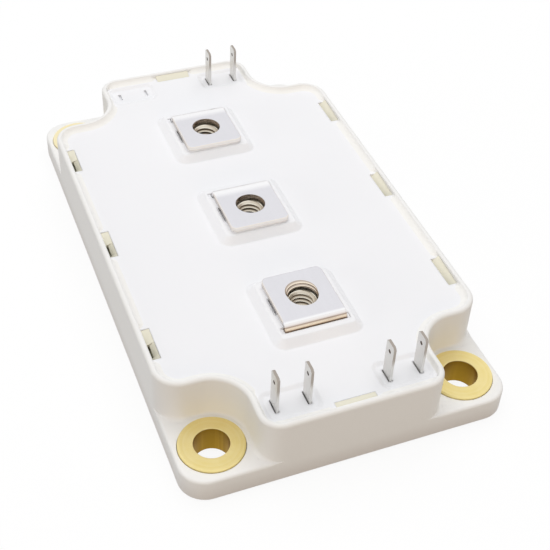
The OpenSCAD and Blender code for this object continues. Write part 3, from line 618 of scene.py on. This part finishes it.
def threadedNut(which):
    # around by along: the outside radius is the hexagon's, and the bore's is a helix between crest and root
    low, high = boxOf("nut_" + which)
    middle = (low + high) / 2
    v = thread
    angle = np.linspace(0, fullTurn, v["around"] + 1)[:-1]
    hexagon = v["hexFlat"] / 2 / np.cos(angle % (math.pi / 3) - math.pi / 6)
    z = np.linspace(low[2] + v["rim"], high[2] - v["rim"], v["along"])[:, None]
    phase = (z / v["pitch"] - angle[None] / fullTurn) % 1.0
    wave = np.clip(np.abs(phase - 0.5) * v["steep"] - v["crestFlat"], 0, 1)  # straight flanks
    cone = np.clip(1 - (high[2] - z) / v["countersink"], 0, 1)  # the thread runs out at the top
    radius = v["crest"] + (v["root"] - v["crest"]) * np.maximum(wave, cone)
    mouth, bevel = v["root"] + v["ease"], np.minimum(hexagon, v["hexFlat"] / 2 + v["ease"])
    full = lambda r, h: np.stack(np.broadcast_arrays(r, h, 0.0, angle)[:3], -1)[None]
    rows = np.concatenate([  # radius, height and the depth of the cut
        np.stack(np.broadcast_arrays(radius, z, wave * (1 - cone)), -1),
        full(mouth, high[2]), full(bevel, high[2]), full(hexagon, high[2] - v["corner"]),
        full(hexagon, low[2] + v["corner"]), full(bevel, low[2]), full(mouth, low[2])])
    r, h = rows[..., 0], rows[..., 1]
    grid = np.stack([middle[0] + r * np.cos(angle), middle[1] + r * np.sin(angle), h], -1)
    uv = np.stack(np.broadcast_arrays(angle / fullTurn, rows[..., 2]), -1)
    return makePiece("threadedNut_" + which, [(grid, True, True, uv)], finishes["nut"], ["nut_" + which])


for which in ("front", "middle", "rear"):
    threadedNut(which)
print("nuts: threaded")

collar = dict(boreRadius=3.2, boreRound=0.08, headRound=0.3, headHeight=1.2, bodyRadius=5.0,
              spigotRadius=4.15, counts=dict(bore=6, face=10, round=6, around=128))


def turnedBushing(corner):
    # a closed turning profile in radius and height, spun about the hole's axis, with the run along it in
    # the UV map
    low, high = boxOf("bushing_" + corner)
    c, count, middle = collar, collar["counts"], (low + high) / 2
    top, headRadius, deck = high[2], (high - low)[0] / 2, mould["plateTop"]
    t = np.linspace(0, quarter, count["round"])
    b, h = c["boreRound"], c["headRound"]
    profile = np.concatenate([
        np.c_[np.full(count["bore"], c["boreRadius"]), np.linspace(0, top - b, count["bore"])],
        np.c_[c["boreRadius"] + b - b * np.cos(t), top - b + b * np.sin(t)],
        np.c_[np.linspace(c["boreRadius"] + b, headRadius - h, count["face"]), np.full(count["face"], top)],
        np.c_[headRadius - h + h * np.sin(t), top - h + h * np.cos(t)],
        [[headRadius, top - c["headHeight"]], [c["bodyRadius"], top - c["headHeight"]],
         [c["bodyRadius"], deck], [c["spigotRadius"], deck], [c["spigotRadius"], 0]]])
    run = np.r_[0, np.cumsum(np.linalg.norm(np.diff(profile, axis=0), axis=1))] * mm
    angle = np.linspace(0, fullTurn, count["around"] + 1)[:-1]
    r, z = profile[:, :1], np.broadcast_to(profile[:, 1:], (len(profile), len(angle)))
    grid = np.stack([middle[0] + r * np.cos(angle), middle[1] + r * np.sin(angle), z], -1)
    uv = np.stack(np.broadcast_arrays(angle[None] / fullTurn, run[:, None]), -1)
    patches = [(grid, True, True, uv)]
    return makePiece("turnedBushing_" + corner, patches, finishes["brass"], ["bushing_" + corner])


for corner in ("front_left", "front_right", "rear_left", "rear_right"):
    turnedBushing(corner)
print("bushings: turned")

strip = dict(thick=1.0, fold=1.5, holeRadius=2.9, holeRound=0.16, edge=0.30, under=0.06, freeCorner=1.2,
             foot=4.5, seat=4.23,
             lead=0.4, bright=0.42, band=(0.3, 2.3),  # a painted highlight: the bright band along a fold that lies behind
             wall=0.87,  # a plain hole's wall painted dark as shade, as a place along the fold's colours
             tapped=dict(flare=0.85, flareBend=1.3, ridge=0.14, pitch=0.48, runOut=6, lip=0.05, rows=25,
                         # painted light on the tapped wall: ridges take cream highlight colours and roots
                         # dark shade colours of the fold
                         dull=0.25, crestAt=(0.3, 0.9), paintedRidgeLight=(0.94, 1.17)),
             counts=dict(side=16, corner=11, free=20, joint=24, face=7, round=5, bend=13))


def stripPlan(which, toward):  # a terminal's half width and top, and its lengths either way from the hole
    low, high = boxOf("terminal_" + which)
    centreY = sum(corner[1] for corner in boxOf("nut_" + which)) / 2
    reach, toFold = (centreY - low[1], high[1] - centreY)[::toward]
    return dict(half=high[0], top=high[2], centreY=centreY, reach=reach, toFold=toFold,
                bendY=toFold - strip["fold"])


def stripOutline(plan, jointNormal, count):
    # the screw face's outline round its free end and back along the joint with the fold, its normals, and the
    # angles and directions of its points as seen from the hole
    half, reach, bendY, r = plan["half"], plan["reach"], plan["bendY"], strip["freeCorner"]
    p, n = joinRuns([lineRun(half, bendY, half, -reach + r, (1, 0), count["side"]),
                     arcRun(half - r, -reach + r, r, 0, -90, count["corner"]),
                     lineRun(half - r, -reach, -half + r, -reach, (0, -1), count["free"]),
                     arcRun(-half + r, -reach + r, r, -90, -180, count["corner"]),
                     lineRun(-half, -reach + r, -half, bendY, (-1, 0), count["side"]),
                     lineRun(-half, bendY, half, bendY, jointNormal, count["joint"])])
    p, n = p[:-1], n[:-1]
    ray = np.arctan2(p[:, 1], p[:, 0])
    return p, n, ray, np.stack([np.cos(ray), np.sin(ray)], 1)


def foldedTerminal(which, toward):
    # the screw face is ruled from the hole to its outline with rounded edges; the front strip's hole is
    # tapped, so its radius is a helix of ridges on a wall that flares away from the fold; the fold, leg and
    # foot are a rounded bar section carried along the bent path; the UV map has the cut edge and the run
    # along the fold
    plan = stripPlan(which, toward)
    half, top, bendY = plan["half"], plan["top"], plan["bendY"]
    s, v, count, tapped = strip, strip["tapped"], strip["counts"], which == "front"
    thick, edge, under, bore, lip = s["thick"], s["edge"], s["under"], s["holeRadius"], s["holeRound"]
    p, n, ray, spoke = stripOutline(plan, (0, 0), count)
    t = np.linspace(0, quarter, count["round"])
    if tapped:
        w = np.linspace(0, 1, v["rows"])[:, None]
        z = top - thick + thick * w
        crest = np.abs(2 * ((z / v["pitch"] - ray[None] / fullTurn) % 1.0) - 1)
        flare = v["flare"] * np.clip(-np.sin(ray), 0, 1) * w ** v["flareBend"]
        wall = bore + flare - v["ridge"] * crest * (1 - w ** v["runOut"])
        mouth = wall[-1][:, None] + v["lip"]
        hole = np.stack(np.broadcast_arrays(wall * spoke[:, 0], wall * spoke[:, 1], z), -1)
        hole = np.concatenate([hole, level(spoke * mouth, top)[None]])
    else:
        mouth = bore + lip + 0 * ray[:, None]
        hole = np.stack([level(spoke * (bore + lip - lip * math.cos(a)), top - lip + lip * math.sin(a))
                         for a in t])
    across = np.linspace(0, 1, count["face"])[1:]
    rows = [level(spoke * mouth * (1 - w) + (p - n * edge) * w, top) for w in across]
    rows += [level(p - n * (edge - edge * math.sin(a)), top - edge + edge * math.cos(a)) for a in t[1:]]
    rows += [level(p - n * (under - under * math.cos(a)), top - thick + under - under * math.sin(a))
             for a in t]
    rows += [level(spoke * bore, top - thick)]
    face = np.concatenate([hole, np.stack(rows)])
    cut = np.zeros(face.shape[:2] + (2,))
    edgeRows, edgePoints = 2 * len(t) - 2, len(p) - (count["joint"] - 2)
    cut[-1 - edgeRows:-1, :edgePoints, 0] = 1  # marks the cut edge, but not the joint with the fold
    if tapped:
        cut[:v["rows"], :, 0] = v["dull"]
        # painted highlight on the ridges and painted shade between them
        cut[:v["rows"], :, 1] = np.interp(crest, v["crestAt"], v["paintedRidgeLight"]) * mm
    else:  # the fold is behind, and its painted highlight band starts on the face
        cut[..., 1] = np.interp(bendY - face[..., 1], s["band"], (s["lead"], 0)) * mm
        # painted shade on the plain hole's wall
        cut[[0, -1], :, 1] = s["wall"] * mm

    wide, tall = half - edge, thick / 2 - edge
    section = np.concatenate([
        np.c_[signX * wide + edge * np.cos(t + i * quarter), signY * tall + edge * np.sin(t + i * quarter)]
        for i, (signX, signY) in enumerate(((1, 1), (-1, 1), (-1, -1), (1, -1)))])
    middle = s["fold"] - thick / 2
    bend = np.linspace(0, quarter, count["bend"])
    topZ, lowZ = top - s["fold"], s["seat"] + s["fold"]
    path = np.concatenate([  # y and z of the middle line, then its outward normal
        np.c_[bendY + middle * np.sin(bend), topZ + middle * np.cos(bend), np.sin(bend), np.cos(bend)],
        np.c_[bendY + middle * np.cos(bend), lowZ - middle * np.sin(bend), np.cos(bend), -np.sin(bend)],
        [[plan["toFold"] - s["foot"], lowZ - middle, 0, -1]]])
    out = section[None, :, 1]
    bar = np.stack([np.broadcast_to(section[None, :, 0], (len(path), len(section))),
                    path[:, 0:1] + out * path[:, 2:3], path[:, 1:2] + out * path[:, 3:4]], -1)
    run = np.r_[0, np.cumsum(np.linalg.norm(np.diff(path[:, :2], axis=0), axis=1))] * mm
    bar, run = capped(bar), np.r_[0, run, run[-1]]
    # a fold that lies behind is painted all in its highlight colour
    if not tapped:
        run = np.clip(run, s["lead"] * mm, s["bright"] * mm)
    uv = np.stack(np.broadcast_arrays(0 * out, run[:, None]), -1)
    place, turn = np.array([0, plan["centreY"], 0]), np.array([1, toward, 1])
    return makePiece("foldedTerminal_" + which,
                     [(face * turn + place, True, True, cut), (bar * turn + place, False, True, uv)],
                     finishes["terminal"], ["terminal_" + which], meshing["sharpStrip"])


seat = dict(fit=0.1, hole=4.4, thin=4.6, channel=1.6, low=14.55, high=14.99,
            counts=dict(side=40, corner=11, free=30, joint=30),
            lips=(dict(x=(0.08, 0.32), y=(-2.22, 2.22), z=(13.6, 14.59)),
                  dict(x=(0.04, 0.62), y=(5.58, 7.02), z=(13.0, 14.42))))


def terminalSeat(which, toward):
    # a pad under the screw face, ruled from the hole to the strip's outline and drawn back where a channel
    # crosses it; the lips are a square section beside the strip, along the channel's mouth and along the slot
    plan = stripPlan(which, toward)
    v, half, place = seat, plan["half"], [0, plan["centreY"], 0]
    p, n, _, spoke = stripOutline(plan, (0, 1), v["counts"])
    crossed = (np.abs(p[:, 1]) < v["channel"])[:, None]
    inner, outer = spoke * v["hole"], np.where(crossed, spoke * v["thin"], p - n * v["fit"])
    low, high = v["low"], v["high"]
    grid = np.stack([level(inner, low), level(inner, high), level(outer, high), level(outer, low)])
    patches = [(grid * [1, toward, 1] + place, True, True, None)]
    for lip in v["lips"]:
        (x0, x1), (z0, z1), along = half + np.array(lip["x"]), lip["z"], np.array(lip["y"])[:, None]
        bar = capped(np.stack(np.broadcast_arrays([x0, x1, x1, x0], along, [z0, z0, z1, z1]), -1))
        patches += [(bar * [sign, toward, 1] + place, False, True, None) for sign in (1, -1)]
    piece = makePiece("terminalSeat_" + which, patches, finishes["lid"], [])


for which, toward in (("front", -1), ("middle", 1), ("rear", 1)):
    foldedTerminal(which, toward)
    terminalSeat(which, toward)
print("terminals: folded and seated")

blade = dict(thick=0.5, edge=0.07, holeRadius=0.38, holeEdge=0.04, holeDrop=1.9, tip=0.45,
             slot=0.8, lipY=(-0.15, -0.01), lipZ=(12.3, 12.89), around=72, roundPoints=4,
             marks=(0.0, 0.5, 1.0))  # on the hole's wall, the faces and the edge


def signalTab(corner, side):
    # around the latch hole by across the thickness: each ray runs from the hole to the nearest edge line of
    # the blade; the UV map carries the height and the mark; the foot is a square bar, and so is the lip of
    # the lid that closes the slot's near end
    name = "tab_" + corner + "_" + side
    low, high = boxOf(name)
    v, outward = blade, 1 if corner.endswith("right") else -1
    half, thick = (high - low)[1] / 2, v["thick"] / 2
    edge, bore, drop = v["edge"], v["holeRadius"], v["holeDrop"]
    onHole, onFace, onEdge = v["marks"]
    outside = outward if side == "outer" else -outward  # the foot points the other way
    faceX = (high if outside > 0 else low)[0] - outside * thick
    footX = (low if outside > 0 else high)[0]
    middleY, holeZ, tall = (low + high)[1] / 2, high[2] - drop, high[2] - low[2]
    slant = 0.5 ** 0.5  # the tip's corners are cut at 45 degrees
    lines = np.array([[1, 0, half], [-1, 0, half], [0, 1, drop], [0, -1, tall - drop]] +
                     [[k * slant, slant, (half + drop - v["tip"]) * slant] for k in (1, -1)])
    cornerY = np.array([half, half - v["tip"], half])
    cornerZ = np.array([drop - v["tip"], drop, drop - tall])
    turn = np.arctan2(np.r_[cornerZ, cornerZ], np.r_[cornerY, -cornerY])
    turn = np.unique(np.r_[turn, np.linspace(-math.pi, math.pi, v["around"] + 1)[:-1]].round(6))
    ray = np.stack([np.cos(turn), np.sin(turn)], 1)

    def reach(inset):  # distance from the hole's centre to the blade's outline, moved in
        with np.errstate(divide="ignore"):
            away = (lines[:, 2] - inset) / (ray @ lines[:, :2].T)
        return np.where(away > 0, away, np.inf).min(1)

    def bar(x, y, z):  # a square bar along X, closed at both ends
        x, y, z = np.array(x)[:, None], np.array(y)[[0, 1, 1, 0]], np.array(z)[[0, 0, 1, 1]]
        return capped(np.stack(np.broadcast_arrays(x, y, z), -1))

    ring = lambda r, x, mark: np.stack(np.broadcast_arrays(x, ray[:, 0] * r, ray[:, 1] * r, mark), -1)
    front = [ring(bore, thick, onHole), ring(bore + v["holeEdge"], thick, onFace),
             ring(reach(edge), thick, onFace)]
    front += [ring(reach(edge - edge * math.sin(a)), thick - edge + edge * math.cos(a), onEdge)
              for a in np.linspace(0, quarter, v["roundPoints"])[1:]]
    rows = np.stack(front + [r * [-1, 1, 1, 1] for r in front[::-1]])
    grid = rows[..., :3] + [faceX, middleY, holeZ]
    uv = np.stack([(grid[..., 2] - low[2]) / tall, rows[..., 3]], -1)
    foot = bar((faceX, footX), (middleY - half, middleY + half), (low[2], low[2] + v["thick"]))
    footUv = np.broadcast_to(np.array([0.0, onFace]), foot.shape[:2] + (2,))
    makePiece("signalTab_" + corner + "_" + side, [(grid, True, True, uv), (foot, False, True, footUv)],
              finishes["tab"], [name], meshing["sharpStrip"])
    slotHalf = v["slot"] / 2
    lip = bar((faceX - slotHalf, faceX + slotHalf), low[1] + np.array(v["lipY"]), v["lipZ"])
    return lip, False, True, None


lips = [signalTab(corner, side)
        for corner in ("front_left", "front_right", "rear_right") for side in ("outer", "inner")]
makePiece("slotLips", lips, finishes["lid"], [])
print("signal tabs: pierced")

# floor, light and background
room = dict(floor=(0.40, 0.39, 0.37, 1), sky=0.40, shadow=0.10, size=3000)
white = (1, 1, 1, 1)


def shownRays(tree):  # camera rays, and all rays that show a surface: straight, in a mirror or through glass
    path = tree.nodes.new("ShaderNodeLightPath")
    straight, mirror, glass = (Wire(tree, path.outputs["Is " + kind + " Ray"])
                               for kind in ("Camera", "Glossy", "Transmission"))
    return straight, (straight + mirror + glass).atMost(1.0)


world = bpy.data.worlds.new("room")
world.use_nodes = True
bpy.context.scene.world = world
backdrop = world.node_tree.nodes["Background"]
backdrop.inputs["Color"].default_value = white
shown = shownRays(world.node_tree)[1]
world.node_tree.links.new(shown.between(room["sky"], 1).socket, backdrop.inputs["Strength"])

floorMesh = bpy.data.meshes.new("floor")
far = room["size"] * mm
floorMesh.from_pydata([(-far, -far, 0), (far, -far, 0), (far, far, 0), (-far, far, 0)], [], [(0, 1, 2, 3)])
floorObject = bpy.data.objects.new("floor", floorMesh)
bpy.context.scene.collection.objects.link(floorObject)
floorMaterial = bpy.data.materials.new("floor")
floorMaterial.use_nodes = True
tree = floorMaterial.node_tree
tree.nodes.clear()
straight, shown = shownRays(tree)
ground = Wire(tree)
diffuse = ground.node("ShaderNodeBsdfDiffuse", None, {"Color": straight.blend(room["floor"], white)})
glow = ground.node("ShaderNodeEmission", None, {"Color": white, "Strength": 1.0})
share = shown * (1 - room["shadow"])
floorShader = ground.node("ShaderNodeMixShader", None, {0: share, 1: diffuse, 2: glow})
output = tree.nodes.new("ShaderNodeOutputMaterial")
tree.links.new(floorShader.socket, output.inputs["Surface"])
floorMesh.materials.append(floorMaterial)

lamps = {
    "overhead": dict(place=(40, 160, 630), aim=(0, 0, 0), size=(800, 800), watts=3.5,
                     colour=(0.985, 0.99, 1.0)),
    "leftSide": dict(place=(-580, -40, 120), aim=(0, 0, 8), size=(420, 160), watts=0.48,
                     colour=(1.0, 0.96, 0.93)),
    "frontSide": dict(place=(-40, -600, 120), aim=(0, 0, 8), size=(420, 160), watts=0.68,
                      colour=(1.0, 0.76, 0.52)),
}
for name, v in lamps.items():
    lamp = bpy.data.lights.new(name, "AREA")
    lamp.shape = "RECTANGLE"
    lamp.size, lamp.size_y = (s * mm for s in v["size"])
    lamp.energy = v["watts"]
    lamp.color = v["colour"]
    lampObject = bpy.data.objects.new(name, lamp)
    lampObject.location = [c * mm for c in v["place"]]
    way = np.array(v["aim"], float) - np.array(v["place"], float)
    way /= np.linalg.norm(way)
    lampObject.rotation_euler = (math.acos(-way[2]), 0, math.atan2(way[1], way[0]) - quarter)
    lampObject.visible_glossy = False  # metal shows the room, not the lamps
    bpy.context.scene.collection.objects.link(lampObject)
bpy.context.scene.view_settings.view_transform = "Standard"
print("room lit")
